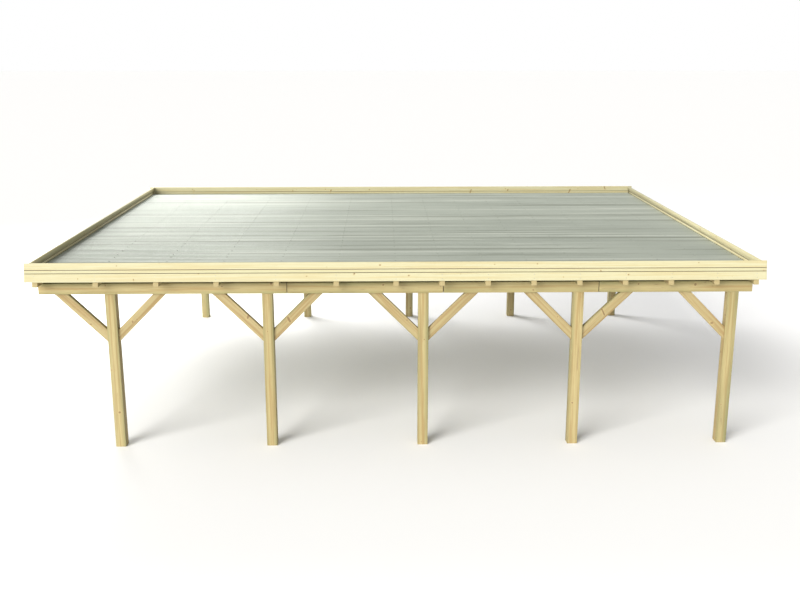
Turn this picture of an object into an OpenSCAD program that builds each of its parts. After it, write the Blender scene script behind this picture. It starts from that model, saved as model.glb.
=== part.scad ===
// Flat-roofed timber double carport, open on all sides.
// Two rows of posts carry purlins along +X, rafters along Y rest on the purlins, corrugated sheets lie on
// the rafters and a leaning fascia of grooved boards runs round the roof edge.
// Origin: middle of the plan at ground level. +X along the purlins, -Y is the front, +Z is up. Millimetres.

/* [Frame] */
// Length of the purlins, and outside to outside of the end rafters
frame_l = 8115; // [6400:5:10000]
// Depth from the outer faces of the front posts to the outer faces of the rear posts
frame_d = 5830; // [3000:10:8000]

/* [Posts] */
// Side of a square post
post_w = 120; // [90:5:160]
// Height of a post, and of the clear way under a purlin
post_h = 1850; // [1500:10:3000]
// Left end of the purlin to the centre of the first post
first_post_in = 800; // [640:10:1200]
// Right end of the purlin to the centre of the last post
last_post_in = 211; // [80:1:600]
// Posts in a row, evenly spaced
post_count = 5; // [3:1:6]

/* [Purlins] */
// Depth of a purlin, as wide as the posts
purlin_h = 125; // [100:5:240]
// Centre of a post to the joint in the purlin on its right
joint_offset = 225; // [100:5:400]
// Open gap at a purlin joint
joint_gap = 3; // [1:0.5:10]
// Wider gap at the joint beside the middle post
middle_gap = 10; // [1:0.5:20]

/* [Braces] */
// Length of each leg of the corner that a brace spans
brace_leg = 575; // [350:5:700]
// Width of a brace across its slope
brace_w = 105; // [60:5:140]
// Thickness of a brace, set in the middle of the post
brace_t = 60; // [30:5:90]

/* [Rafters] */
// Width of a rafter
rafter_w = 60; // [40:2:100]
// Height of a rafter
rafter_h = 140; // [100:5:240]
// How far a rafter's lower edge reaches past the outer faces of the posts
rafter_overhang = 180; // [100:5:400]
// Centre to centre of the rafters in the left bays
left_pitch = 668; // [400:1:800]
// Number of left bays
left_bays = 6; // [2:1:8]
// Number of right bays, which share the length between the left bays and the closing bay
right_bays = 7; // [2:1:9]
// Centre to centre of the last two rafters
closing_bay = 444; // [200:1:700]

/* [Fascia] */
// Lean of the boards, with the top towards the roof
fascia_lean = 11; // [0:0.5:20]
// Thickness of a board
board_t = 18; // [16:1:30]
// Width of the upper board
upper_board_w = 118; // [110:1:160]
// Width of the lower board
lower_board_w = 96; // [60:1:160]
// Shadow gap between the two boards
board_gap = 2; // [1:0.5:6]
// Top edge of the upper board to its groove
groove_in = 80; // [40:1:90]
// Width of the groove on either face
groove_w = 7; // [3:0.5:10]
// Depth of the groove from either face
groove_d = 5; // [2:0.5:6]
// Height of the lower board above the underside of the rafters
fascia_rise = 55; // [10:5:90]
// How far the front and rear boards reach past the side boards
end_lap = 14; // [0:1:40]
// Clear gap between the end of a side board and a front or rear board
butt_gap = 1; // [0.5:0.5:5]

/* [Wedge blocks] */
// Width of a block at its foot
wedge_w = 60; // [50:2:100]
// Thickness of a block along the rafter
wedge_t = 60; // [40:2:100]
// Blocks on each side
wedge_count = 7; // [3:1:9]
// End of the rafter to the centre of the first block
wedge_in = 300; // [150:10:500]

/* [Roof sheets] */
// Sheets side by side
sheet_count = 7; // [4:1:9]
// Corrugations that a sheet covers, with one more in its lap
cover_waves = 11; // [8:1:14]
// Height of a corrugation
wave_h = 18; // [10:1:40]
// Thickness of the sheet
sheet_t = 0.8; // [0.6:0.1:2]
// Gap between the sheets and the boards around them
sheet_gap = 6; // [3:1:20]
// Space left between two sheets in a lap
lap_gap = 0.2; // [0.1:0.1:1]

/* [Hidden] */
lean_tan = tan(fascia_lean);
purlin_z = post_h;
rafter_z = purlin_z + purlin_h;
roof_z = rafter_z + rafter_h;

// Centre lines of the post rows, from the middle of the plan
row_y = frame_d / 2 - post_w / 2;
post_pitch = (frame_l - first_post_in - last_post_in) / (post_count - 1);
post_xs = [for (i = [0 : post_count - 1]) -frame_l / 2 + first_post_in + i * post_pitch];

// Each purlin is cut beside every inner post, as [place, gap]
middle_post = floor((post_count - 1) / 2);
purlin_cuts = [for (i = [1 : post_count - 2])
    [post_xs[i] + joint_offset, i == middle_post ? middle_gap : joint_gap]];
purlin_starts = concat([-frame_l / 2], [for (cut = purlin_cuts) cut[0] + cut[1] / 2]);
purlin_ends = concat([for (cut = purlin_cuts) cut[0] - cut[1] / 2], [frame_l / 2]);

// Left edges of the rafters, from one end of the purlins to the other
rafter_count = left_bays + right_bays + 2;
left_part = left_bays * left_pitch;
right_pitch = (frame_l - rafter_w - left_part - closing_bay) / right_bays;
rafter_xs = concat(
    [for (i = [0 : left_bays]) -frame_l / 2 + i * left_pitch],
    [for (i = [1 : right_bays]) -frame_l / 2 + left_part + i * right_pitch],
    [frame_l / 2 - rafter_w]);
rafter_half = frame_d / 2 + rafter_overhang;

// The inner face of the boards starts at the foot of the rafter ends and of the wedge blocks
front_inner = rafter_half;
side_inner = frame_l / 2 + wedge_w;
board_start = fascia_rise / cos(fascia_lean);
fascia_w = lower_board_w + board_gap + upper_board_w;
side_outer = side_inner + board_t * cos(fascia_lean) - board_start * sin(fascia_lean);
fascia_l = 2 * (side_outer + end_lap);

// The sheets fill the ring of boards at the height of their crests
crest_drop = (rafter_h + wave_h + 2 * sheet_t) * lean_tan;
sheet_l = 2 * (side_inner - crest_drop - sheet_gap);
roof_d = 2 * (front_inner - crest_drop - sheet_gap);
wave_pitch = roof_d / (sheet_count * cover_waves + 1);
wave_steps = 8;
sheet_steps = (cover_waves + 1) * wave_steps;
lap_lift = (sheet_t + lap_gap) * (cover_waves + 1) / cover_waves;

wedge_pitch = 2 * (rafter_half - wedge_in) / (wedge_count - 1);

timber = [0.82, 0.76, 0.54];
pale_timber = [0.96, 0.92, 0.74];
sheet_metal = [0.74, 0.77, 0.71];

// One post of a row; side is -1 for the front and 1 for the rear
module post(i, side) {
    color(timber)
        translate([post_xs[i] - post_w / 2, side * row_y - post_w / 2, 0])
            cube([post_w, post_w, post_h]);
}

// A brace in the corner of a post and the purlin; hand is -1 on the post's left and 1 on its right
module brace(i, side, hand) {
    cut = brace_w * sqrt(2);
    corner = [post_xs[i] + hand * post_w / 2, side * row_y, purlin_z];
    translate(corner)
        rotate([90, 0, 0])
            linear_extrude(height = brace_t, center = true)
                polygon([[hand * brace_leg, 0], [hand * (brace_leg - cut), 0],
                         [0, cut - brace_leg], [0, -brace_leg]]);
}

// All braces of a row: one on each side of every post, but none to the right of the last
module brace_row(side) {
    color(timber)
        for (i = [0 : post_count - 1]) {
            brace(i, side, -1);
            if (i < post_count - 1) brace(i, side, 1);
        }
}

// A purlin in several lengths, end to end on the posts
module purlin(side) {
    color(timber)
        for (k = [0 : len(purlin_starts) - 1])
            translate([purlin_starts[k], side * row_y - post_w / 2, purlin_z])
                cube([purlin_ends[k] - purlin_starts[k], post_w, purlin_h]);
}

// A rafter, with its ends cut to the lean of the fascia
module rafter(i) {
    top_half = rafter_half - rafter_h * lean_tan;
    color(timber)
        translate([rafter_xs[i], 0, rafter_z])
            rotate([90, 0, 90])
                linear_extrude(height = rafter_w)
                    polygon([[-rafter_half, 0], [rafter_half, 0],
                             [top_half, rafter_h], [-top_half, rafter_h]]);
}

// Cross sections of the two boards, from the inner face at 0 outwards
module lower_board() {
    square([board_t, lower_board_w]);
}

module upper_board() {
    difference() {
        square([board_t, upper_board_w]);
        for (x = [0, board_t])
            translate([x, upper_board_w - groove_in])
                square([2 * groove_d, groove_w], center = true);
    }
}

// Both boards leaning on a face whose foot is inner away from the middle of the plan
module fascia_section(inner) {
    translate([inner, rafter_z])
        rotate(fascia_lean)
            translate([0, board_start]) {
                lower_board();
                translate([0, lower_board_w + board_gap])
                    upper_board();
            }
}

// Front or rear fascia, past the side boards at both ends
module long_fascia(side) {
    color(pale_timber)
        scale([1, side, 1])
            rotate([90, 0, 90])
                linear_extrude(height = fascia_l, center = true)
                    fascia_section(front_inner);
}

// Left or right fascia, its ends cut to the lean of the front and rear boards
module side_fascia(side) {
    foot = front_inner - butt_gap;
    rise = fascia_rise + fascia_w;
    head = foot - rise * lean_tan;
    color(pale_timber)
        scale([side, 1, 1])
            intersection() {
                rotate([90, 0, 0])
                    linear_extrude(height = 2 * front_inner, center = true)
                        fascia_section(side_inner);
                translate([0, 0, rafter_z])
                    rotate([90, 0, 90])
                        linear_extrude(height = side_inner + 2 * board_t)
                            polygon([[-foot, 0], [foot, 0], [head, rise], [-head, rise]]);
            }
}

// Tapered blocks on the outer face of an end rafter, which hold the side boards at their lean
module wedges(side) {
    color(timber)
        scale([side, 1, 1])
            for (k = [0 : wedge_count - 1])
                translate([frame_l / 2, wedge_in - rafter_half + k * wedge_pitch, rafter_z])
                    rotate([90, 0, 0])
                        linear_extrude(height = wedge_t, center = true)
                            polygon([[0, 0], [wedge_w, 0],
                                     [wedge_w - rafter_h * lean_tan, rafter_h], [0, rafter_h]]);
}

// Underside of sheet k at step i across its width; its first edge is lifted onto the sheet before
function sheet_y(k, i) = -roof_d / 2 + (k * cover_waves + i / wave_steps) * wave_pitch;
function sheet_z(i) = wave_h / 2 * (1 - cos(360 * i / wave_steps)) + lap_lift * (1 - i / sheet_steps);

// A corrugated sheet, with its corrugations along X
module roof_sheet(k) {
    lower = [for (i = [0 : sheet_steps]) [sheet_y(k, i), sheet_z(i)]];
    upper = [for (i = [sheet_steps : -1 : 0]) [sheet_y(k, i), sheet_z(i) + sheet_t]];
    color(sheet_metal)
        translate([0, 0, roof_z])
            rotate([90, 0, 90])
                linear_extrude(height = sheet_l, center = true)
                    polygon(concat(lower, upper));
}

for (i = [0 : post_count - 1]) {
    post(i, -1);
    post(i, 1);
}
brace_row(-1);  // front_braces
brace_row(1);  // rear_braces
purlin(-1);  // front_purlin
purlin(1);  // rear_purlin
for (i = [0 : rafter_count - 1])
    rafter(i);
long_fascia(-1);  // front_fascia
long_fascia(1);  // rear_fascia
side_fascia(-1);  // left_fascia
side_fascia(1);  // right_fascia
wedges(-1);  // left_wedges
wedges(1);  // right_wedges
for (k = [0 : sheet_count - 1])
    roof_sheet(k);
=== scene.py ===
import math
import random

import bmesh
import bpy
from mathutils import Matrix, Vector


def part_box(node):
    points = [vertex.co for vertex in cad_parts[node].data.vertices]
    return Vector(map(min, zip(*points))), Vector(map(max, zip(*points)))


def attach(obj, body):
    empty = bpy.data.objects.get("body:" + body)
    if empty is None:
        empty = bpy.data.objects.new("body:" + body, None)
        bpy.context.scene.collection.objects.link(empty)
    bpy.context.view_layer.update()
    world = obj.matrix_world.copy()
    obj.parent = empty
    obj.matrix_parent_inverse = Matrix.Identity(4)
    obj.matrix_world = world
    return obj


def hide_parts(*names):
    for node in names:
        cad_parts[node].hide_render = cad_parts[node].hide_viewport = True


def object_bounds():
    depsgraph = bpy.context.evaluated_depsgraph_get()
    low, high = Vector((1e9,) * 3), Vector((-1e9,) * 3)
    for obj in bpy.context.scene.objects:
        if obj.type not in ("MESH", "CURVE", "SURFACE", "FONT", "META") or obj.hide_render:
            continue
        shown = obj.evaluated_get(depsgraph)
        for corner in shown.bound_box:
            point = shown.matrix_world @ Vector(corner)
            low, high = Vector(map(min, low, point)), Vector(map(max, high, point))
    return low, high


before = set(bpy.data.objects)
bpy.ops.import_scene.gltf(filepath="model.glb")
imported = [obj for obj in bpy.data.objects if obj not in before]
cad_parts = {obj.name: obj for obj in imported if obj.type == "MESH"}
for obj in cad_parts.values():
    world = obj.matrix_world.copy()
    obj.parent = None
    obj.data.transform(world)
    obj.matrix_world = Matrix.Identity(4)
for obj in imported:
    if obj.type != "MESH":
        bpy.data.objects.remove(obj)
cad_low, cad_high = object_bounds()

# ---------------------------------------------------------------- Posts
# Ten square posts in two rows, planed from pressure-treated pine logs with the heart boxed in.
# The four long edges are rounded over by the planer and the ends are sawn square with a small bevel.
dice = random.Random(11)
ALONG_X = Vector((1, 0, 0))
ALONG_Y = Vector((0, 1, 0))
ALONG_Z = Vector((0, 0, 1))
POST_ROWS = ("front_post", "rear_post")
POSTS_IN_ROW = 5
ROUNDED_EDGE = 0.005
ROUNDED_STEPS = 3
SAWN_EDGE = 0.0015
TIMBER_CREASE = math.radians(35)
HEART_WANDER = 0.012
LOG_LENGTH = 60

# Least shares of a direction: an end face looks along its timber, a long edge runs along it, and a post
# runs upright.
END_FACE = 0.5
LONG_EDGE = 0.99
UPRIGHT = 0.9

# How the pine has grown: its whorls of branches, their knots, the rings, and the treated outer wood.
WHORL_GAP = 0.6
WHORL_SPREAD = 0.16
BRANCHES_IN_WHORL = 3
BRANCH_SLOPE = 0.35
SMALLEST_KNOT = 0.001
KNOT_RANGE = 0.016
KNOT_RING = 0.0018
RING_WANDER = 0.030
RING_BULGE = 0.006
TREATED_FROM = 0.055
TREATED_TO = 0.086

# How strongly each mark colours the wood, and the colours that all the pine shares.
LATE_WOOD_TONE = 0.55
STREAK_TONE = 0.95
FIBRE_TONE = 0.14
COLLAR_TONE = 0.35
KNOT_TONE = 0.85
CRACK_TONE = 0.7
KNOT_COLLAR = (0.50, 0.38, 0.17, 1)
KNOT_LIGHT = (0.26, 0.165, 0.075, 1)
KNOT_DARK = (0.15, 0.09, 0.04, 1)
KNOT_RIM = (0.07, 0.04, 0.02, 1)
CRACK_BROWN = (0.16, 0.10, 0.05, 1)
# Near-black brown for the painted shade in joints and grooves.
PAINTED_JOINT_SHADE = (0.11, 0.085, 0.045, 1)

# The planed surface: late wood and knots shine a little more, end grain less, and each stands in relief.
PLANED_ROUGHNESS = 0.66
LATE_WOOD_SHINE = 0.10
KNOT_SHINE = 0.18
END_GRAIN_DULLING = 0.15
WOOD_SPECULAR = 0.35
GRAIN_HEIGHT = 0.0006
RING_RELIEF = 0.25
FIBRE_RELIEF = 0.5
KNOT_RELIEF = 0.35
CRACK_DEPTH = 2.5


def cut_timber(name, low, high):
    """A square-ended length of timber between two corners, with nothing eased yet."""
    bpy.ops.object.select_all(action="DESELECT")
    bpy.ops.mesh.primitive_cube_add(size=1, location=(low + high) / 2, scale=high - low)
    piece = bpy.context.object
    piece.name = piece.data.name = name
    bpy.ops.object.transform_apply(location=True, rotation=True, scale=True)
    return piece


def saw_end(piece, point, normal):
    """Saws off all that lies beyond a plane and closes the cut."""
    bpy.ops.object.mode_set(mode="EDIT")
    bpy.ops.mesh.select_all(action="SELECT")
    bpy.ops.mesh.bisect(plane_co=point, plane_no=normal, use_fill=True, clear_outer=True)
    bpy.ops.object.mode_set(mode="OBJECT")


def ease_edges(piece, along, rounded=ROUNDED_EDGE, sawn=SAWN_EDGE):
    """Rounds the edges that run along a timber, and then bevels the edges of its two sawn ends."""
    bpy.ops.object.mode_set(mode="EDIT")
    for lengthwise, width, steps in ((True, rounded, ROUNDED_STEPS), (False, sawn, 1)):
        bpy.ops.mesh.select_mode(type="EDGE")
        bpy.ops.mesh.select_all(action="DESELECT")
        shape = bmesh.from_edit_mesh(piece.data)
        shape.normal_update()
        for edge in shape.edges:
            run = (edge.verts[1].co - edge.verts[0].co).normalized()
            at_end = any(abs(face.normal.dot(along)) > END_FACE for face in edge.link_faces)
            edge.select = (abs(run.dot(along)) > LONG_EDGE) if lengthwise else at_end
        shape.select_flush_mode()
        bmesh.update_edit_mesh(piece.data)
        bpy.ops.mesh.bevel(offset=width, segments=steps, affect="EDGES")
    bpy.ops.object.mode_set(mode="OBJECT")
    bpy.ops.object.shade_smooth_by_angle(angle=TIMBER_CREASE)


def lay_grain(piece, along, heart, start=None):
    """Stores where each point lies in its log: along the log, and across from the heart of the tree."""
    across = ALONG_Z.cross(along).normalized() if abs(along.z) < UPRIGHT else ALONG_X
    upward = along.cross(across)
    if start is None:
        start = dice.uniform(0, LOG_LENGTH)
    log = piece.data.attributes.new("log", "FLOAT_VECTOR", "POINT")
    for vertex, place in zip(piece.data.vertices, log.data):
        out = vertex.co - heart
        place.vector = (out.dot(along) + start, out.dot(across), out.dot(upward))
    ends = piece.data.attributes.new("end_grain", "FLOAT", "FACE")
    for face, end in zip(piece.data.polygons, ends.data):
        end.value = 1.0 if abs(face.normal.dot(along)) > END_FACE else 0.0


def copy_piece(piece, name, move):
    """The same piece again with its own mesh, in another place."""
    copy = piece.copy()
    copy.data = piece.data.copy()
    copy.name = copy.data.name = name
    copy.data.transform(move)
    bpy.context.collection.objects.link(copy)
    return copy


def start_material(name):
    """A new material, with its nodes and the shader of its surface."""
    material = bpy.data.materials.new(name)
    material.use_nodes = True
    return material, material.node_tree, material.node_tree.nodes["Principled BSDF"]


def link_or_set(tree, socket, value):
    """Feeds a socket from another node, or sets it to a plain value."""
    if isinstance(value, bpy.types.NodeSocket):
        tree.links.new(value, socket)
    else:
        socket.default_value = value


def calculate(tree, operation, *values):
    """One Math node."""
    node = tree.nodes.new("ShaderNodeMath")
    node.operation = operation
    for socket, value in zip(node.inputs, values):
        link_or_set(tree, socket, value)
    return node.outputs[0]


def fade(tree, value, start, end, low=0.0, high=1.0):
    """Goes smoothly from low to high as the value goes from start to end."""
    node = tree.nodes.new("ShaderNodeMapRange")
    node.interpolation_type = "SMOOTHSTEP"
    for name, given in (("Value", value), ("From Min", start), ("From Max", end),
                        ("To Min", low), ("To Max", high)):
        link_or_set(tree, node.inputs[name], given)
    return node.outputs["Result"]


def blend_colours(tree, share, first, second):
    """One Mix node for colours, which shows the second colour by its share."""
    node = tree.nodes.new("ShaderNodeMix")
    node.data_type = "RGBA"
    node.clamp_factor = True
    link_or_set(tree, node.inputs["Factor"], share)
    link_or_set(tree, node.inputs["A"], first)
    link_or_set(tree, node.inputs["B"], second)
    return node.outputs["Result"]


def stretched_noise(tree, place, stretch, detail=2.0, roughness=0.5):
    """Noise on a place that is first scaled by three factors, such as 1 a metre along and 40 across."""
    mapping = tree.nodes.new("ShaderNodeMapping")
    mapping.inputs["Scale"].default_value = stretch
    tree.links.new(place, mapping.inputs["Vector"])
    noise = tree.nodes.new("ShaderNodeTexNoise")
    noise.inputs["Scale"].default_value = 1.0
    noise.inputs["Detail"].default_value = detail
    noise.inputs["Roughness"].default_value = roughness
    tree.links.new(mapping.outputs["Vector"], noise.inputs["Vector"])
    return noise.outputs["Fac"]


def read_attribute(tree, name, output="Fac"):
    """What a piece stores at its points or faces."""
    node = tree.nodes.new("ShaderNodeAttribute")
    node.attribute_name = name
    return node.outputs[output]


def raise_surface(tree, shader, height, strength, distance):
    """One Bump node on the shader's normal."""
    bump = tree.nodes.new("ShaderNodeBump")
    bump.inputs["Strength"].default_value = strength
    bump.inputs["Distance"].default_value = distance
    tree.links.new(height, bump.inputs["Height"])
    tree.links.new(bump.outputs["Normal"], shader.inputs["Normal"])


def length_of(tree, first, second):
    """The length of two steps at right angles."""
    first_square = calculate(tree, "POWER", first, 2.0)
    second_square = calculate(tree, "POWER", second, 2.0)
    return calculate(tree, "SQRT", calculate(tree, "ADD", first_square, second_square))


def tint(colour, strength=1.0):
    """A colour made lighter or darker, with full alpha."""
    return (*(strength * channel for channel in colour), 1)


def find_branch(tree, along, side, rise, radius, knots):
    """How far a point is from the nearest branch, the branch's own radius, and a random tone for it."""
    whorl = calculate(tree, "DIVIDE", along, WHORL_GAP)
    level = calculate(tree, "FLOOR", whorl)
    whorl_turn = tree.nodes.new("ShaderNodeTexWhiteNoise")
    whorl_turn.noise_dimensions = "1D"
    tree.links.new(level, whorl_turn.inputs["W"])
    turn = calculate(tree, "ARCTAN2", rise, side)
    sector = calculate(tree, "MULTIPLY_ADD", turn, BRANCHES_IN_WHORL / math.tau, whorl_turn.outputs["Value"])
    branch = tree.nodes.new("ShaderNodeCombineXYZ")
    tree.links.new(level, branch.inputs["X"])
    tree.links.new(calculate(tree, "FLOOR", sector), branch.inputs["Y"])
    luck = tree.nodes.new("ShaderNodeTexWhiteNoise")
    luck.noise_dimensions = "3D"
    tree.links.new(branch.outputs[0], luck.inputs["Vector"])
    luck_split = tree.nodes.new("ShaderNodeSeparateColor")
    tree.links.new(luck.outputs["Color"], luck_split.inputs[0])
    shift_luck, size_luck, tone_luck = luck_split.outputs

    aside = calculate(tree, "SUBTRACT", calculate(tree, "FRACT", sector), 0.5)
    aside = calculate(tree, "MULTIPLY", aside, math.tau / BRANCHES_IN_WHORL)
    aside = calculate(tree, "MULTIPLY", calculate(tree, "SINE", aside), radius)
    above = calculate(tree, "SUBTRACT", calculate(tree, "FRACT", whorl), 0.5)
    above = calculate(tree, "MULTIPLY", above, WHORL_GAP)
    shift = calculate(tree, "MULTIPLY_ADD", shift_luck, WHORL_SPREAD, -WHORL_SPREAD / 2)
    above = calculate(tree, "ADD", above, shift)
    above = calculate(tree, "MULTIPLY_ADD", radius, -BRANCH_SLOPE, above)
    branch_radius = calculate(tree, "MULTIPLY_ADD", size_luck, KNOT_RANGE * knots, SMALLEST_KNOT)
    return length_of(tree, aside, above), branch_radius, tone_luck


def grow_rings(tree, place, radius, collar, ring_width):
    """The late wood of the growth rings, which wander along the log and bulge round each knot."""
    wander = stretched_noise(tree, place, stretch=(0.9, 9.0, 9.0), detail=3.0)
    bulged = calculate(tree, "ADD", radius, calculate(tree, "MULTIPLY", collar, RING_BULGE))
    ring_place = calculate(tree, "MULTIPLY_ADD", wander, RING_WANDER, bulged)
    year = calculate(tree, "FRACT", calculate(tree, "DIVIDE", ring_place, ring_width))
    darkening = calculate(tree, "POWER", year, 3.0)
    return calculate(tree, "MULTIPLY", darkening, fade(tree, year, start=1.0, end=0.93))


def open_cracks(tree, place, end_grain, cracks):
    """Drying cracks: long thin lines that follow the grain and open only in some stretches."""
    lines = stretched_noise(tree, place, stretch=(1.1, 60.0, 60.0), detail=1.0)
    off_line = calculate(tree, "ABSOLUTE", calculate(tree, "SUBTRACT", lines, 0.5))
    crack = fade(tree, off_line, start=0.010, end=0.002)
    stretches = stretched_noise(tree, place, stretch=(1.3, 6.0, 6.0), detail=1.0)
    crack = calculate(tree, "MULTIPLY", crack, fade(tree, stretches, start=0.60, end=0.66))
    crack = calculate(tree, "MULTIPLY", crack, calculate(tree, "SUBTRACT", 1.0, end_grain))
    return calculate(tree, "MULTIPLY", crack, cracks)


def pine(name, pale, tan, green, knots=1.0, ring_width=0.0042, cracks=1.0, paint_joint_shade=False):
    """Planed pine with growth rings, knots, streaks, green treatment, drying cracks and painted shade in
    joints and grooves.
    """
    material, tree, shader = start_material(name)
    place = read_attribute(tree, "log", "Vector")
    end_grain = read_attribute(tree, "end_grain")
    split = tree.nodes.new("ShaderNodeSeparateXYZ")
    tree.links.new(place, split.inputs[0])
    along, side, rise = split.outputs
    radius = length_of(tree, side, rise)

    # A knot has a dark rim and rings of its own, and a tan collar in the wood round it.
    to_branch, branch_radius, tone_luck = find_branch(tree, along, side, rise, radius, knots)
    radii_out = calculate(tree, "DIVIDE", to_branch, branch_radius)
    knot = fade(tree, radii_out, start=1.0, end=0.75)
    collar = fade(tree, radii_out, start=2.6, end=1.0)
    rim = calculate(tree, "MULTIPLY", knot, fade(tree, radii_out, start=0.6, end=0.85))
    knot_rings = calculate(tree, "FRACT", calculate(tree, "DIVIDE", to_branch, KNOT_RING))
    late_wood = grow_rings(tree, place, radius, collar, ring_width)
    crack = open_cracks(tree, place, end_grain, cracks)

    # Pale early wood, tan late wood and streaks, green patches in the outer wood, and dark fibres.
    streaks = stretched_noise(tree, place, stretch=(0.9, 38.0, 38.0), detail=4.0, roughness=0.6)
    clouds = stretched_noise(tree, place, stretch=(0.7, 3.0, 3.0))
    fibres = stretched_noise(tree, place, stretch=(9.0, 900.0, 900.0))
    wood = blend_colours(tree, calculate(tree, "MULTIPLY", late_wood, LATE_WOOD_TONE), tint(pale), tint(tan))
    wood = blend_colours(tree, fade(tree, streaks, 0.42, 0.62, high=STREAK_TONE), wood, tint(tan))
    outer_wood = fade(tree, radius, TREATED_FROM, TREATED_TO, low=0.10)
    patches = fade(tree, clouds, 0.30, 0.70, low=0.45)
    wood = blend_colours(tree, calculate(tree, "MULTIPLY", outer_wood, patches), wood, tint(green))
    wood = blend_colours(tree, fade(tree, fibres, 0.45, 0.75, high=FIBRE_TONE), wood, tint(tan, 0.5))

    # The knots, the end grain and the cracks lie over that.
    knot_brown = blend_colours(tree, fade(tree, knot_rings, 0.3, 0.9), KNOT_LIGHT, KNOT_DARK)
    knot_brown = blend_colours(tree, calculate(tree, "MULTIPLY", rim, tone_luck), knot_brown, KNOT_RIM)
    wood = blend_colours(tree, calculate(tree, "MULTIPLY", collar, COLLAR_TONE), wood, KNOT_COLLAR)
    wood = blend_colours(tree, calculate(tree, "MULTIPLY", knot, KNOT_TONE), wood, knot_brown)
    end_wood = blend_colours(tree, late_wood, tint(pale, 0.92), tint(tan, 0.66))
    wood = blend_colours(tree, end_grain, wood, end_wood)
    wood = blend_colours(tree, calculate(tree, "MULTIPLY", crack, CRACK_TONE), wood, CRACK_BROWN)

    # Painted shade darkens the faces where two lengths meet and in the bottom of a groove.
    if paint_joint_shade:
        wood = blend_colours(tree, read_attribute(tree, "painted_joint_shade"), wood, PAINTED_JOINT_SHADE)
    tree.links.new(wood, shader.inputs["Base Color"])

    roughness = calculate(tree, "MULTIPLY_ADD", late_wood, -LATE_WOOD_SHINE, PLANED_ROUGHNESS)
    roughness = calculate(tree, "MULTIPLY_ADD", knot, -KNOT_SHINE, roughness)
    roughness = calculate(tree, "MULTIPLY_ADD", end_grain, END_GRAIN_DULLING, roughness)
    tree.links.new(roughness, shader.inputs["Roughness"])
    shader.inputs["Specular IOR Level"].default_value = WOOD_SPECULAR
    height = calculate(tree, "MULTIPLY", fibres, FIBRE_RELIEF)
    height = calculate(tree, "MULTIPLY_ADD", late_wood, RING_RELIEF, height)
    height = calculate(tree, "MULTIPLY_ADD", crack, -CRACK_DEPTH, height)
    height = calculate(tree, "MULTIPLY_ADD", knot, KNOT_RELIEF, height)
    raise_surface(tree, shader, height, strength=0.5, distance=GRAIN_HEIGHT)
    return material


post_pine = pine("post_timber", pale=(0.48, 0.4, 0.2), tan=(0.355, 0.245, 0.1), green=(0.24, 0.225, 0.1))
first_low, first_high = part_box("front_post_1")
post_pattern = cut_timber("post_pattern", first_low, first_high)
ease_edges(post_pattern, ALONG_Z)
for row in POST_ROWS:
    for number in range(1, POSTS_IN_ROW + 1):
        node = f"{row}_{number}"
        low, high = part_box(node)
        post = copy_piece(post_pattern, f"{node}_timber", Matrix.Translation(low - first_low))
        heart = (low + high) / 2
        heart.x += dice.uniform(-HEART_WANDER, HEART_WANDER)
        heart.y += dice.uniform(-HEART_WANDER, HEART_WANDER)
        lay_grain(post, ALONG_Z, heart)
        post.data.materials.append(post_pine)
        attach(post, "root")
        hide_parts(node)
bpy.data.objects.remove(post_pattern)

# ---------------------------------------------------------------- Purlins
# One beam along each row of posts, of the same planed pine, made of four lengths that meet end to end.
# Each joint stands just past an inner post, which carries one length while its brace carries the next.
PURLIN_JOINT_PAST_POST = 0.225
PURLIN_JOINT_GAP = 0.003
MIDDLE_JOINT_GAP = 0.004
MIDDLE_JOINT_BEVEL = 0.003


def join_pieces(pieces, name):
    """Makes one object of several pieces, each of which keeps its own grain."""
    bpy.ops.object.select_all(action="DESELECT")
    for piece in pieces:
        piece.select_set(True)
    bpy.context.view_layer.objects.active = pieces[0]
    bpy.ops.object.join()
    pieces[0].name = pieces[0].data.name = name
    return pieces[0]


# The purlins take a lighter copy of the post pine: painted light that lifts their fronts, which lie in the
# shade of the roof.
frame_pine_painted_light = pine("frame_timber", pale=(0.51, 0.42, 0.21), tan=(0.41, 0.285, 0.12),
                  green=(0.31, 0.285, 0.125), paint_joint_shade=True)
post_centres = []
for number in range(1, POSTS_IN_ROW + 1):
    low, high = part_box(f"front_post_{number}")
    post_centres.append((low.x + high.x) / 2)
joints = [(centre + PURLIN_JOINT_PAST_POST, PURLIN_JOINT_GAP) for centre in post_centres[1:-1]]
middle_joint = joints[len(joints) // 2][0]
joints[len(joints) // 2] = (middle_joint, MIDDLE_JOINT_GAP)
for node in ("front_purlin", "rear_purlin"):
    low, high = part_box(node)
    starts = [low.x] + [joint + gap / 2 for joint, gap in joints]
    ends = [joint - gap / 2 for joint, gap in joints] + [high.x]
    lengths = []
    for start, end in zip(starts, ends):
        length = cut_timber("purlin_length", Vector((start, low.y, low.z)), Vector((end, high.y, high.z)))
        at_middle = min(abs(start - middle_joint), abs(end - middle_joint)) < MIDDLE_JOINT_GAP
        ease_edges(length, ALONG_X, sawn=MIDDLE_JOINT_BEVEL if at_middle else SAWN_EDGE)
        heart = (low + high) / 2
        heart.y += dice.uniform(-HEART_WANDER, HEART_WANDER)
        heart.z += dice.uniform(-HEART_WANDER, HEART_WANDER)
        lay_grain(length, ALONG_X, heart)
        # The end faces and bevels at each joint are marked for painted shade.
        painted_shade = length.data.attributes.new("painted_joint_shade", "FLOAT", "FACE")
        for face, amount in zip(length.data.polygons, painted_shade.data):
            from_joint = min(abs(face.center.x - joint) for joint, gap in joints)
            amount.value = 1.0 if from_joint < MIDDLE_JOINT_GAP + MIDDLE_JOINT_BEVEL else 0.0
        length.data.materials.append(frame_pine_painted_light)
        lengths.append(length)
    purlin = join_pieces(lengths, f"{node}_timber")
    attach(purlin, "root")
    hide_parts(node)

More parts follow.
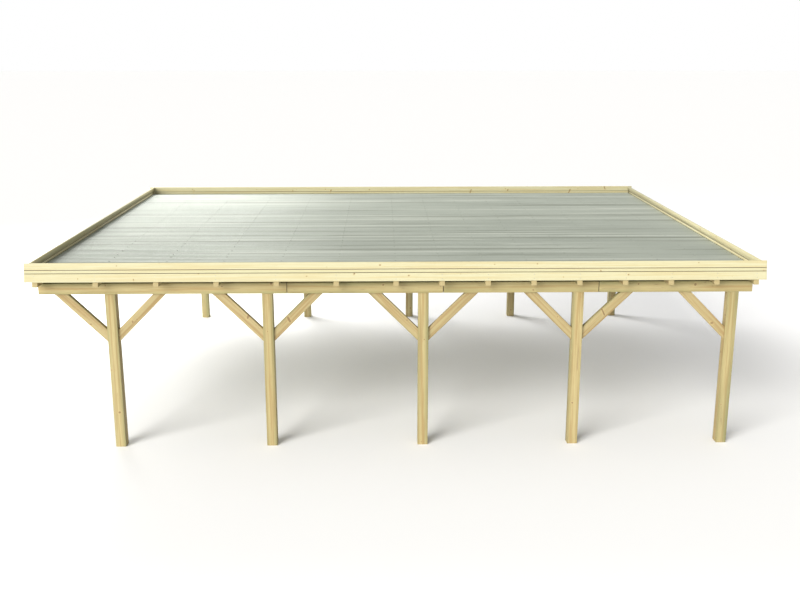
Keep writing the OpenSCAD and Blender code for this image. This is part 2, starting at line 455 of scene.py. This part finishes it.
# ---------------------------------------------------------------- Braces
# Short planks sawn at 45 degrees at both ends, in every corner of a post and the purlin but the last.
# They stiffen the open frame, stand in the middle of the posts' width and are screwed at both ends.
BRACE_WIDTH = 0.105
BRACE_EDGE = 0.004
BRACE_TURN = math.radians(-45)
KNOTS_BELOW_MIDDLE = 0.09
BRACE_HEART_BEHIND = (0.005, 0.03)
BRACE_HEART_WANDER = 0.03
brace_low, brace_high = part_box("front_braces")
post_low, post_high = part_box("front_post_1")
brace_leg = post_high.z - brace_low.z
brace_back = brace_leg - BRACE_WIDTH * math.sqrt(2)
corner = Vector((post_high.x, (brace_low.y + brace_high.y) / 2, post_high.z))
half_thick = (brace_high.y - brace_low.y) / 2
brace_pine = pine("brace_timber", pale=(0.42, 0.345, 0.175), tan=(0.33, 0.225, 0.095),
                  green=(0.25, 0.23, 0.105))
brace_run = Vector((1, 0, 1)).normalized()

# The pattern is laid level through the middle of the corner, turned to 45 degrees and sawn at both faces.
middle_out = (brace_leg + brace_back) / 4
brace_middle = corner + Vector((middle_out, 0, -middle_out))
reach = Vector((brace_leg, half_thick, BRACE_WIDTH / 2))
brace_pattern = cut_timber("brace_pattern", brace_middle - reach, brace_middle + reach)
brace_pattern.data.transform(Matrix.Translation(brace_middle)
                             @ Matrix.Rotation(BRACE_TURN, 4, "Y")
                             @ Matrix.Translation(-brace_middle))
saw_end(brace_pattern, corner, -ALONG_X)
saw_end(brace_pattern, corner, ALONG_Z)
ease_edges(brace_pattern, brace_run, rounded=BRACE_EDGE)
for node, side in (("front_braces", -1), ("rear_braces", 1)):
    low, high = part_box(node)
    row_y = (low.y + high.y) / 2
    braces = []
    for number, centre in enumerate(post_centres):
        to_row = Matrix.Translation((centre - post_centres[0], row_y - corner.y, 0))
        turned = (Matrix.Translation((centre, row_y, 0)) @ Matrix.Rotation(math.pi, 4, "Z")
                  @ Matrix.Translation((-post_centres[0], -corner.y, 0)))
        for hand, move in ((1, to_row), (-1, turned)):
            if hand == 1 and number == POSTS_IN_ROW - 1:
                continue
            brace = copy_piece(brace_pattern, "brace", move)
            run = Vector((hand, 0, 1)).normalized()
            heart = move @ brace_middle
            heart.y += side * dice.uniform(*BRACE_HEART_BEHIND)
            heart += Vector((-hand, 0, 1)) * dice.uniform(-BRACE_HEART_WANDER, BRACE_HEART_WANDER)
            whorl = dice.randrange(round(LOG_LENGTH / WHORL_GAP))
            lay_grain(brace, run, heart, start=(whorl + 0.5) * WHORL_GAP + KNOTS_BELOW_MIDDLE)
            brace.data.materials.append(brace_pine)
            braces.append(brace)
    row_of_braces = join_pieces(braces, f"{node}_timber")
    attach(row_of_braces, "root")
    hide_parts(node)
bpy.data.objects.remove(brace_pattern)

# ---------------------------------------------------------------- Rafters
# Fifteen planed joists on edge that rest on both purlins and reach past them to the front and the rear.
# Their ends are sawn to the lean of the boards that are screwed on to them.
RAFTERS = 15
BOARD_LEAN = math.radians(11)
RAFTER_HEART_OUT = 0.034
RAFTER_HEART_WANDER = 0.02
rafter_pine = pine("rafter_timber", pale=(0.46, 0.38, 0.195), tan=(0.35, 0.245, 0.11),
                   green=(0.24, 0.225, 0.1))
first_low, first_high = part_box("rafter_1")
rafter_pattern = cut_timber("rafter_pattern", first_low, first_high)
for side, foot in ((-1, first_low.y), (1, first_high.y)):
    saw_end(rafter_pattern, Vector((first_low.x, foot, first_low.z)),
            Vector((0, side * math.cos(BOARD_LEAN), math.sin(BOARD_LEAN))))
ease_edges(rafter_pattern, ALONG_Y)
for number in range(1, RAFTERS + 1):
    node = f"rafter_{number}"
    low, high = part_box(node)
    rafter = copy_piece(rafter_pattern, f"{node}_timber", Matrix.Translation(low - first_low))
    heart = (low + high) / 2
    heart.x += dice.choice((-1, 1)) * RAFTER_HEART_OUT
    heart.z += dice.uniform(-RAFTER_HEART_WANDER, RAFTER_HEART_WANDER)
    lay_grain(rafter, ALONG_Y, heart)
    rafter.data.materials.append(rafter_pine)
    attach(rafter, "root")
    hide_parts(node)
bpy.data.objects.remove(rafter_pattern)

# ---------------------------------------------------------------- Wedge blocks
# Tapered blocks sawn from rafter ends, screwed to the outer faces of the two end rafters.
# They hold the boards of the short sides at the same lean as the rafter ends hold the long ones.
WEDGES_ON_SIDE = 7
WEDGE_THICK = 0.06
WEDGE_EDGE = 0.002
WEDGE_HEART_WANDER = 0.03
for node, side in (("left_wedges", -1), ("right_wedges", 1)):
    low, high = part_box(node)
    wedge_pitch = (high.y - low.y - WEDGE_THICK) / (WEDGES_ON_SIDE - 1)
    wedge_pattern = cut_timber("wedge_pattern", low, Vector((high.x, low.y + WEDGE_THICK, high.z)))
    foot = high.x if side == 1 else low.x
    saw_end(wedge_pattern, Vector((foot, low.y, low.z)),
            Vector((side * math.cos(BOARD_LEAN), 0, math.sin(BOARD_LEAN))))
    ease_edges(wedge_pattern, ALONG_Z, rounded=WEDGE_EDGE)
    blocks = []
    for number in range(WEDGES_ON_SIDE):
        block = copy_piece(wedge_pattern, "wedge", Matrix.Translation((0, number * wedge_pitch, 0)))
        heart = Vector(((low.x + high.x) / 2, low.y + number * wedge_pitch, low.z))
        heart.x += dice.uniform(-WEDGE_HEART_WANDER, WEDGE_HEART_WANDER)
        heart.y += dice.uniform(-WEDGE_HEART_WANDER, WEDGE_HEART_WANDER)
        lay_grain(block, ALONG_Z, heart)
        block.data.materials.append(rafter_pine)
        blocks.append(block)
    wedges = join_pieces(blocks, f"{node}_timber")
    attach(wedges, "root")
    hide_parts(node)
    bpy.data.objects.remove(wedge_pattern)

# ---------------------------------------------------------------- Fascia boards
# Two planed spruce boards, one above the other, on all four sides of the roof, leaning in at the top.
# A tongue under the upper board closes the joint. A groove on both faces leaves a bead above the joint.
BOARD_THICK = 0.018
LOWER_BOARD = 0.096
UPPER_BOARD = 0.118
BOARD_GAP = 0.002
BOARD_EDGE = 0.0025
BOARD_CREASE = math.radians(25)
GROOVE_FROM_TOP = 0.080
GROOVE_WIDE = 0.007
GROOVE_FLOOR = 0.005
GROOVE_DEEP = 0.005
TONGUE_THICK = 0.006
MITRE_GAP = 0.001
SIDE_BOARD_SPARE = 0.1
BOARD_HEART_BEHIND = (0.03, 0.07)
BOARD_HEART_WANDER = 0.03
HAIR = 1e-5


def select_edges(piece, wanted):
    """In edit mode, selects the edges whose two ends both pass a test."""
    bpy.ops.mesh.select_mode(type="EDGE")
    bpy.ops.mesh.select_all(action="DESELECT")
    shape = bmesh.from_edit_mesh(piece.data)
    for edge in shape.edges:
        edge.select = all(wanted(vertex.co) for vertex in edge.verts)
    shape.select_flush_mode()
    bmesh.update_edit_mesh(piece.data)


def select_faces(piece, wanted):
    """In edit mode, selects the faces whose middle passes a test."""
    bpy.ops.mesh.select_mode(type="FACE")
    bpy.ops.mesh.select_all(action="DESELECT")
    shape = bmesh.from_edit_mesh(piece.data)
    for face in shape.faces:
        face.select = wanted(face.calc_center_median())
    bmesh.update_edit_mesh(piece.data)


def plough_groove(board, height):
    """In edit mode, sinks a groove with sloped sides along both faces of a board."""
    for offset in (-GROOVE_WIDE / 2, -GROOVE_FLOOR / 2, GROOVE_FLOOR / 2, GROOVE_WIDE / 2):
        bpy.ops.mesh.select_all(action="SELECT")
        bpy.ops.mesh.bisect(plane_co=(0, 0, height + offset), plane_no=ALONG_Z)
    for face_y, inward in ((-BOARD_THICK, 1), (0, -1)):
        select_edges(board, lambda co, y=face_y: abs(co.y - y) < HAIR
                     and abs(co.z - height) < GROOVE_FLOOR / 2 + HAIR)
        bpy.ops.transform.translate(value=(0, inward * GROOVE_DEEP, 0))


def leave_tongue(board):
    """In edit mode, draws a tongue down from the middle of a board's lower edge to the board below."""
    for offset in (-TONGUE_THICK / 2, TONGUE_THICK / 2):
        bpy.ops.mesh.select_all(action="SELECT")
        bpy.ops.mesh.bisect(plane_co=(0, offset - BOARD_THICK / 2, 0), plane_no=ALONG_Y)
    select_faces(board, lambda middle: middle.z < HAIR
                 and abs(middle.y + BOARD_THICK / 2) < TONGUE_THICK / 4)
    bpy.ops.mesh.extrude_region_move(TRANSFORM_OT_translate={"value": (0, 0, -BOARD_GAP)})


def plane_board(half_length, width, groove_height=None):
    """An upright board along X with its inner face at y = 0 and its outer face at -y, standing on z = 0."""
    board = cut_timber("board", Vector((-half_length, -BOARD_THICK, 0)), Vector((half_length, 0, width)))
    bpy.ops.object.mode_set(mode="EDIT")
    select_edges(board, lambda co: co.z < HAIR or co.z > width - HAIR)
    bpy.ops.mesh.bevel(offset=BOARD_EDGE, segments=1, affect="EDGES")
    if groove_height:
        plough_groove(board, groove_height)
        leave_tongue(board)
    bpy.ops.object.mode_set(mode="OBJECT")
    bpy.ops.object.shade_smooth_by_angle(angle=BOARD_CREASE)
    # The faces in the joint between the boards and at the bottom of the groove are marked for painted shade.
    painted_shade = board.data.attributes.new("painted_joint_shade", "FLOAT", "FACE")
    for face, amount in zip(board.data.polygons, painted_shade.data):
        middle = face.center
        below_face = abs(middle.y + BOARD_THICK / 2) < BOARD_THICK / 2 - GROOVE_DEEP / 4
        if groove_height:
            in_joint = middle.z < BOARD_EDGE
            in_groove = below_face and abs(middle.z - groove_height) < GROOVE_WIDE / 2
        else:
            in_joint = middle.z > width - BOARD_EDGE
            in_groove = False
        amount.value = 1.0 if in_joint or in_groove else 0.0
    return board


fascia_pine = pine("fascia_board", pale=(0.53, 0.5, 0.32), tan=(0.5, 0.435, 0.243),
                   green=(0.485, 0.46, 0.28), knots=0.6, ring_width=0.0034, cracks=0.25,
                   paint_joint_shade=True)
rafter_low, rafter_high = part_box("rafter_1")
left_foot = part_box("left_wedges")[0].x
front_foot = rafter_low.y
foot_z = rafter_low.z
board_start = (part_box("front_fascia")[0].z - foot_z) / math.cos(BOARD_LEAN)
turns = {"front": 0, "right": 90, "rear": 180, "left": 270}
for name, turn in turns.items():
    node = f"{name}_fascia"
    low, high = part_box(node)
    long_side = name in ("front", "rear")
    half_length = (high.x - low.x) / 2 if long_side else -front_foot + SIDE_BOARD_SPARE
    foot_y = front_foot if long_side else left_foot
    boards = []
    for start, width, groove in (
        (0, LOWER_BOARD, None),
        (LOWER_BOARD + BOARD_GAP, UPPER_BOARD, UPPER_BOARD - GROOVE_FROM_TOP),
    ):
        board = plane_board(half_length, width, groove)
        lean = Matrix.Rotation(-BOARD_LEAN, 4, "X") @ Matrix.Translation((0, 0, board_start + start))
        board.data.transform(Matrix.Translation((0, foot_y, foot_z)) @ lean)
        if not long_side:
            for end in (-1, 1):
                saw_end(board, Vector((end * (-front_foot - MITRE_GAP), 0, foot_z)),
                        Vector((end * math.cos(BOARD_LEAN), 0, math.sin(BOARD_LEAN))))
        heart = Vector((0, foot_y, foot_z + board_start + start + width / 2))
        heart.y += dice.uniform(*BOARD_HEART_BEHIND)
        heart.z += dice.uniform(-BOARD_HEART_WANDER, BOARD_HEART_WANDER)
        lay_grain(board, ALONG_X, heart)
        board.data.transform(Matrix.Rotation(math.radians(turn), 4, "Z"))
        board.data.materials.append(fascia_pine)
        boards.append(board)
    fascia = join_pieces(boards, f"{node}_boards")
    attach(fascia, "root")
    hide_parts(node)

# ---------------------------------------------------------------- Roof sheets
# Seven corrugated sheets lie side by side on the rafters, with their corrugations along the building.
# Each laps one corrugation on to the sheet before it. They are thin aluminium with a satin grey coat.
SHEETS = 7
SHEET_WAVES = 12
COVER_WAVES = 11
STEPS_IN_WAVE = 16
STEPS_ALONG_SHEET = 4
WAVE_HEIGHT = 0.018
SHEET_THICK = 0.0008
LAP_GAP = 0.0002
SHEET_CREASE = math.radians(40)
CLEAN_UNDERSIDE = 0.25
COAT_PALE = (0.34, 0.365, 0.315, 1)
COAT_DEEP = (0.295, 0.32, 0.275, 1)
RAIN_LIGHT = (0.47, 0.49, 0.43, 1)
RAIN_DARK = (0.19, 0.205, 0.165, 1)
DUST = (0.34, 0.34, 0.29, 1)
RAIN_TONE = 0.7
DUST_TONE = 0.20
COAT_METALLIC = 0.2


def corrugate(sheet, low, high):
    """Lifts a flat sheet's points into waves, the first edge on top of the sheet before."""
    lap_lift = (SHEET_THICK + LAP_GAP) * SHEET_WAVES / COVER_WAVES
    for vertex in sheet.data.vertices:
        across = (vertex.co.y - low.y) / (high.y - low.y)
        wave = (1 - math.cos(math.tau * SHEET_WAVES * across)) / 2
        vertex.co.z = low.z + WAVE_HEIGHT * wave + lap_lift * (1 - across)


def coated_sheet(name):
    """Satin grey-green coat on thin metal, with specks of dust and with rain streaks along the waves."""
    material, tree, shader = start_material(name)
    place = tree.nodes.new("ShaderNodeTexCoord").outputs["Object"]
    streaks = stretched_noise(tree, place, stretch=(0.14, 10.0, 1.0), detail=5.0, roughness=0.72)
    patches = stretched_noise(tree, place, stretch=(0.35, 0.9, 1.0), detail=3.0)
    grit = stretched_noise(tree, place, stretch=(260.0, 260.0, 260.0), detail=1.0)
    coat = blend_colours(tree, fade(tree, patches, 0.3, 0.7), COAT_PALE, COAT_DEEP)
    rain = calculate(tree, "MULTIPLY", read_attribute(tree, "weathered"), RAIN_TONE)
    coat = blend_colours(tree, fade(tree, streaks, 0.52, 0.66, high=rain), coat, RAIN_LIGHT)
    coat = blend_colours(tree, fade(tree, streaks, 0.48, 0.36, high=rain), coat, RAIN_DARK)
    coat = blend_colours(tree, fade(tree, grit, 0.62, 0.75, high=DUST_TONE), coat, DUST)
    tree.links.new(coat, shader.inputs["Base Color"])
    shader.inputs["Metallic"].default_value = COAT_METALLIC
    tree.links.new(fade(tree, streaks, 0.3, 0.8, low=0.36, high=0.55), shader.inputs["Roughness"])
    dents = stretched_noise(tree, place, stretch=(3.0, 5.0, 3.0), detail=1.0)
    raise_surface(tree, shader, dents, strength=0.25, distance=0.0015)
    return material


sheet_coat = coated_sheet("roof_sheet")
for number in range(1, SHEETS + 1):
    node = f"roof_sheet_{number}"
    low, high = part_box(node)
    bpy.ops.object.select_all(action="DESELECT")
    bpy.ops.mesh.primitive_grid_add(x_subdivisions=STEPS_ALONG_SHEET,
                                    y_subdivisions=SHEET_WAVES * STEPS_IN_WAVE,
                                    size=1, location=(low + high) / 2)
    sheet = bpy.context.object
    sheet.scale = (high.x - low.x, high.y - low.y, 1)
    sheet.name = sheet.data.name = f"{node}_metal"
    bpy.ops.object.transform_apply(location=True, rotation=True, scale=True)
    corrugate(sheet, low, high)
    metal = sheet.modifiers.new("thickness", "SOLIDIFY")
    metal.thickness = SHEET_THICK
    metal.offset = 1
    bpy.ops.object.modifier_apply(modifier=metal.name)
    bpy.ops.object.shade_smooth_by_angle(angle=SHEET_CREASE)
    weathered = sheet.data.attributes.new("weathered", "FLOAT", "FACE")
    for face, amount in zip(sheet.data.polygons, weathered.data):
        amount.value = 1.0 if face.normal.z > 0 else CLEAN_UNDERSIDE
    sheet.data.materials.append(sheet_coat)
    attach(sheet, "root")
    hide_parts(node)

# ---------------------------------------------------------------- Screws
# Zinc-plated countersunk screws hold the boards and the braces, their heads just proud of the wood.
# The sheets are held through their crests by coated hexagon-headed screws on domed sealing washers.
HEAD_SIDES = 12
HEAD_RADIUS = 0.0045
HEAD_PROUD = 0.0006
HEAD_RIM = 0.6 * HEAD_PROUD
DRIVE_HOLE_RADIUS = 0.5 * HEAD_RADIUS
DRIVE_HOLE_FROM_RIM = 0.42 * HEAD_RADIUS
DRIVE_HOLE_TAPER = 0.06 * HEAD_RADIUS
DRIVE_HOLE_DEEP = 0.8 * HEAD_PROUD
LOWER_BOARD_SCREWS = (0.026, 0.070)
BRACE_SCREWS = (0.10, 0.17)
WASHER_RADIUS = 0.008
WASHER_SLOPE = 0.4 * WASHER_RADIUS
WASHER_DOME = 0.0012
SEAL_THICK = 0.0008
HEX_SIDES = 6
HEX_RADIUS = 0.0042
HEX_HIGH = 0.0045
HEX_MIDDLE = 0.0039
HEX_EDGE = 0.0007
WAVES_BETWEEN_SCREWS = 3
NEAR_TOP = 0.9
DOME_FACE = 0.5
RUBBER_BLACK = (0.03, 0.03, 0.03, 1)
RUBBER_BLOOM = (0.07, 0.07, 0.065, 1)


def place_copies(piece, name, places):
    """One object made of a copy of a small piece at every place, and the first one removed."""
    shape = bmesh.new()
    for place in places:
        known = len(shape.verts)
        shape.from_mesh(piece.data)
        shape.verts.ensure_lookup_table()
        bmesh.ops.transform(shape, matrix=place, verts=shape.verts[known:])
    joined = bpy.data.objects.new(name, bpy.data.meshes.new(name))
    shape.to_mesh(joined.data)
    shape.free()
    for material in piece.data.materials:
        joined.data.materials.append(material)
    bpy.context.collection.objects.link(joined)
    bpy.data.objects.remove(piece)
    return joined


def cut_disk(sides, radius, depth, middle_z=0):
    """A short bar with flat sides about the Z axis."""
    bpy.ops.object.select_all(action="DESELECT")
    bpy.ops.mesh.primitive_cylinder_add(vertices=sides, radius=radius, depth=depth, location=(0, 0, middle_z))
    disk = bpy.context.object
    bpy.ops.object.transform_apply(location=True, rotation=True, scale=True)
    return disk


def zinc(name, bright, dull):
    """Zinc plating, softly brushed, with darker patches where it has dulled."""
    material, tree, shader = start_material(name)
    place = tree.nodes.new("ShaderNodeTexCoord").outputs["Object"]
    dulling = stretched_noise(tree, place, stretch=(400.0, 400.0, 400.0))
    plating = blend_colours(tree, fade(tree, dulling, 0.35, 0.7), bright, dull)
    tree.links.new(plating, shader.inputs["Base Color"])
    tree.links.new(fade(tree, dulling, 0.3, 0.7, low=0.32, high=0.5), shader.inputs["Roughness"])
    shader.inputs["Metallic"].default_value = 1.0
    return material


def seal_rubber(name):
    """Dull black rubber with a faint grey bloom."""
    material, tree, shader = start_material(name)
    place = tree.nodes.new("ShaderNodeTexCoord").outputs["Object"]
    bloom = stretched_noise(tree, place, stretch=(300.0, 300.0, 300.0))
    tree.links.new(blend_colours(tree, bloom, RUBBER_BLACK, RUBBER_BLOOM), shader.inputs["Base Color"])
    shader.inputs["Roughness"].default_value = 0.8
    return material


def countersunk_head(plating, painted_hole_shade):
    """A flat screw head on the origin that looks up Z, with a bevelled rim and a drive hole painted dark as
    shade.
    """
    head = cut_disk(HEAD_SIDES, HEAD_RADIUS, 2 * HEAD_PROUD)
    bpy.ops.object.mode_set(mode="EDIT")
    select_faces(head, lambda middle: middle.z > HEAD_PROUD * NEAR_TOP)
    bpy.ops.mesh.bevel(offset=HEAD_RIM, segments=1, affect="EDGES")
    select_faces(head, lambda middle: middle.z > HEAD_PROUD * NEAR_TOP)
    bpy.ops.mesh.inset(thickness=DRIVE_HOLE_FROM_RIM, depth=0)
    bpy.ops.mesh.inset(thickness=DRIVE_HOLE_TAPER, depth=-DRIVE_HOLE_DEEP)
    bpy.ops.object.mode_set(mode="OBJECT")
    head.data.materials.append(plating)
    head.data.materials.append(painted_hole_shade)
    # The faces of the drive hole take the near-black second material: painted shade in the shallow hole.
    for face in head.data.polygons:
        sunk = 0 < face.center.z < HEAD_PROUD * NEAR_TOP
        face.material_index = 1 if sunk and face.center.xy.length < DRIVE_HOLE_RADIUS else 0
    return head


def sheet_screw(coat, rubber):
    """A hexagon head on a domed washer with a dark seal under its rim, on the origin, looking up Z."""
    washer = cut_disk(HEAD_SIDES, WASHER_RADIUS, SEAL_THICK, SEAL_THICK / 2)
    bpy.ops.object.mode_set(mode="EDIT")
    select_faces(washer, lambda middle: middle.z > SEAL_THICK * NEAR_TOP)
    bpy.ops.mesh.inset(thickness=WASHER_SLOPE, depth=WASHER_DOME)
    bpy.ops.object.mode_set(mode="OBJECT")
    washer.data.materials.append(rubber)
    washer.data.materials.append(coat)
    for face in washer.data.polygons:
        face.material_index = 1 if face.normal.z > DOME_FACE else 0
    head = cut_disk(HEX_SIDES, HEX_RADIUS, HEX_HIGH, HEX_MIDDLE)
    bpy.ops.object.mode_set(mode="EDIT")
    select_faces(head, lambda middle: middle.z > HEX_MIDDLE + HEX_HIGH / 2 * NEAR_TOP)
    bpy.ops.mesh.bevel(offset=HEX_EDGE, segments=1, affect="EDGES")
    bpy.ops.object.mode_set(mode="OBJECT")
    head.data.materials.append(coat)
    return join_pieces([washer, head], "sheet_screw")


def facing(point, outward):
    """The place of a screw on a point of a face that looks outward."""
    return Matrix.Translation(point) @ outward.to_track_quat("Z", "Y").to_matrix().to_4x4()


steel = zinc("fixing_steel", bright=(0.58, 0.58, 0.56, 1), dull=(0.36, 0.36, 0.34, 1))
# Near-black zinc for the drive holes: painted shade, as the modelled holes are too shallow to hold their own
# shadow.
hole_shade_steel = zinc("drive_hole_painted_shade", bright=(0.07, 0.07, 0.068, 1), dull=(0.03, 0.03, 0.029, 1))
rafter_boxes = [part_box(f"rafter_{number}") for number in range(1, RAFTERS + 1)]
rafter_middles = [(low.x + high.x) / 2 for low, high in rafter_boxes]

# Two screws hold the lower board on each rafter end and on each wedge block.
board_screws = []
for side in (-1, 1):
    upward = Vector((0, -side * math.sin(BOARD_LEAN), math.cos(BOARD_LEAN)))
    outward = Vector((0, side * math.cos(BOARD_LEAN), math.sin(BOARD_LEAN)))
    for x in rafter_middles:
        face_foot = Vector((x, side * rafter_high.y, foot_z)) + outward * BOARD_THICK
        for height in LOWER_BOARD_SCREWS:
            board_screws.append(facing(face_foot + upward * (board_start + height), outward))
    upward = Vector((-side * math.sin(BOARD_LEAN), 0, math.cos(BOARD_LEAN)))
    outward = Vector((side * math.cos(BOARD_LEAN), 0, math.sin(BOARD_LEAN)))
    wedge_low, wedge_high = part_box("right_wedges")
    for number in range(WEDGES_ON_SIDE):
        y = wedge_low.y + WEDGE_THICK / 2 + number * wedge_pitch
        face_foot = Vector((side * wedge_high.x, y, foot_z)) + outward * BOARD_THICK
        for height in LOWER_BOARD_SCREWS:
            board_screws.append(facing(face_foot + upward * (board_start + height), outward))
screws = place_copies(countersunk_head(steel, hole_shade_steel), "fascia_screws", board_screws)
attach(screws, "root")

# Two screws go up through the lower edge of each brace into the post, and two into the purlin.
brace_screws = []
edge_length = brace_leg * math.sqrt(2)
for node in ("front_braces", "rear_braces"):
    low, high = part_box(node)
    row_y = (low.y + high.y) / 2
    for number, centre in enumerate(post_centres):
        for hand in (-1, 1):
            if hand == 1 and number == POSTS_IN_ROW - 1:
                continue
            tip = Vector((centre + hand * (post_high.x - post_low.x) / 2, row_y, low.z))
            run = Vector((hand, 0, 1)).normalized()
            outward = Vector((hand, 0, -1)).normalized()
            for from_tip in BRACE_SCREWS:
                brace_screws.append(facing(tip + run * from_tip, outward))
                brace_screws.append(facing(tip + run * (edge_length - from_tip), outward))
screws = place_copies(countersunk_head(steel, hole_shade_steel), "brace_screws", brace_screws)
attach(screws, "root")

# The sheets are screwed to every rafter through every third crest.
crest_screws = []
for number in range(1, SHEETS + 1):
    low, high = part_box(f"roof_sheet_{number}")
    for wave in range(1, COVER_WAVES, WAVES_BETWEEN_SCREWS):
        across = (wave + 0.5) / SHEET_WAVES
        y = low.y + across * (high.y - low.y)
        lap_lift = (SHEET_THICK + LAP_GAP) * SHEET_WAVES / COVER_WAVES * (1 - across)
        crest = low.z + WAVE_HEIGHT + SHEET_THICK + lap_lift
        for x in rafter_middles:
            crest_screws.append(Matrix.Translation((x, y, crest)))
screws = place_copies(sheet_screw(sheet_coat, seal_rubber("seal_rubber")), "roof_screws", crest_screws)
weathered = screws.data.attributes.new("weathered", "FLOAT", "FACE")
weathered.data.foreach_set("value", [1.0] * len(screws.data.polygons))
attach(screws, "root")

# ---------------------------------------------------------------- Floor, light and camera
# The carport stands on a plain pale floor in soft light that comes from the front and the left.
# A round lamp high behind the left end gives the roof its pale sheen there.
FLOOR_SIZE = 400
FLOOR_BELOW = 0.0005
FLOOR_WHITE = (0.95, 0.95, 0.95, 1)
STUDIO_GLOW = 0.50
STUDIO_SEEN = 1.0


def hang_light(light, from_direction, place=(0, 0, 0)):
    """Hangs a light so that it shines from a direction."""
    lamp = bpy.data.objects.new(light.name, light)
    lamp.location = place
    lamp.rotation_euler = Vector(from_direction).to_track_quat("Z", "Y").to_euler()
    bpy.context.collection.objects.link(lamp)
    return lamp


bpy.ops.object.select_all(action="DESELECT")
bpy.ops.mesh.primitive_plane_add(size=FLOOR_SIZE, location=(0, 0, cad_low.z - FLOOR_BELOW))
floor = bpy.context.object
floor.name = "floor"
floor_paint, _, paint = start_material("floor_paint")
paint.inputs["Base Color"].default_value = FLOOR_WHITE
paint.inputs["Roughness"].default_value = 0.9
paint.inputs["Specular IOR Level"].default_value = 0.1
floor.data.materials.append(floor_paint)

studio = bpy.data.worlds.new("studio")
bpy.context.scene.world = studio
studio.use_nodes = True
studio_tree = studio.node_tree
backdrop = studio_tree.nodes["Background"]
backdrop.inputs["Color"].default_value = (1, 1, 1, 1)
seen = studio_tree.nodes.new("ShaderNodeLightPath").outputs["Is Camera Ray"]
glow = fade(studio_tree, seen, 0.0, 1.0, low=STUDIO_GLOW, high=STUDIO_SEEN)
studio_tree.links.new(glow, backdrop.inputs["Strength"])

key = bpy.data.lights.new("key", "SUN")
key.energy = 3.85
key.angle = math.radians(38)
key.color = (1.0, 0.985, 0.95)
hang_light(key, from_direction=(-0.60, -0.80, 0.48))

fill = bpy.data.lights.new("fill", "SUN")
fill.energy = 0.8
fill.angle = math.radians(50)
hang_light(fill, from_direction=(-0.35, -1.0, 0.12))

sheen = bpy.data.lights.new("sheen", "AREA")
sheen.shape = "DISK"
sheen.size = 8
sheen.energy = 1400
sheen_lamp = hang_light(sheen, from_direction=(-3.5, 8.5, 6), place=(-5.6, 8.5, 8))
sheen_lamp.visible_camera = False

camera = bpy.data.cameras.new("camera")
camera.sensor_width = 36
camera.lens = 43.88
camera.clip_end = 1000
camera_stand = bpy.data.objects.new("camera", camera)
camera_stand.location = (-0.172, -13.671, 4.539)
camera_stand.rotation_euler = (math.radians(75.56), 0, math.radians(-1.06))
bpy.context.collection.objects.link(camera_stand)
bpy.context.scene.camera = camera_stand
bpy.context.scene.view_settings.view_transform = "Standard"
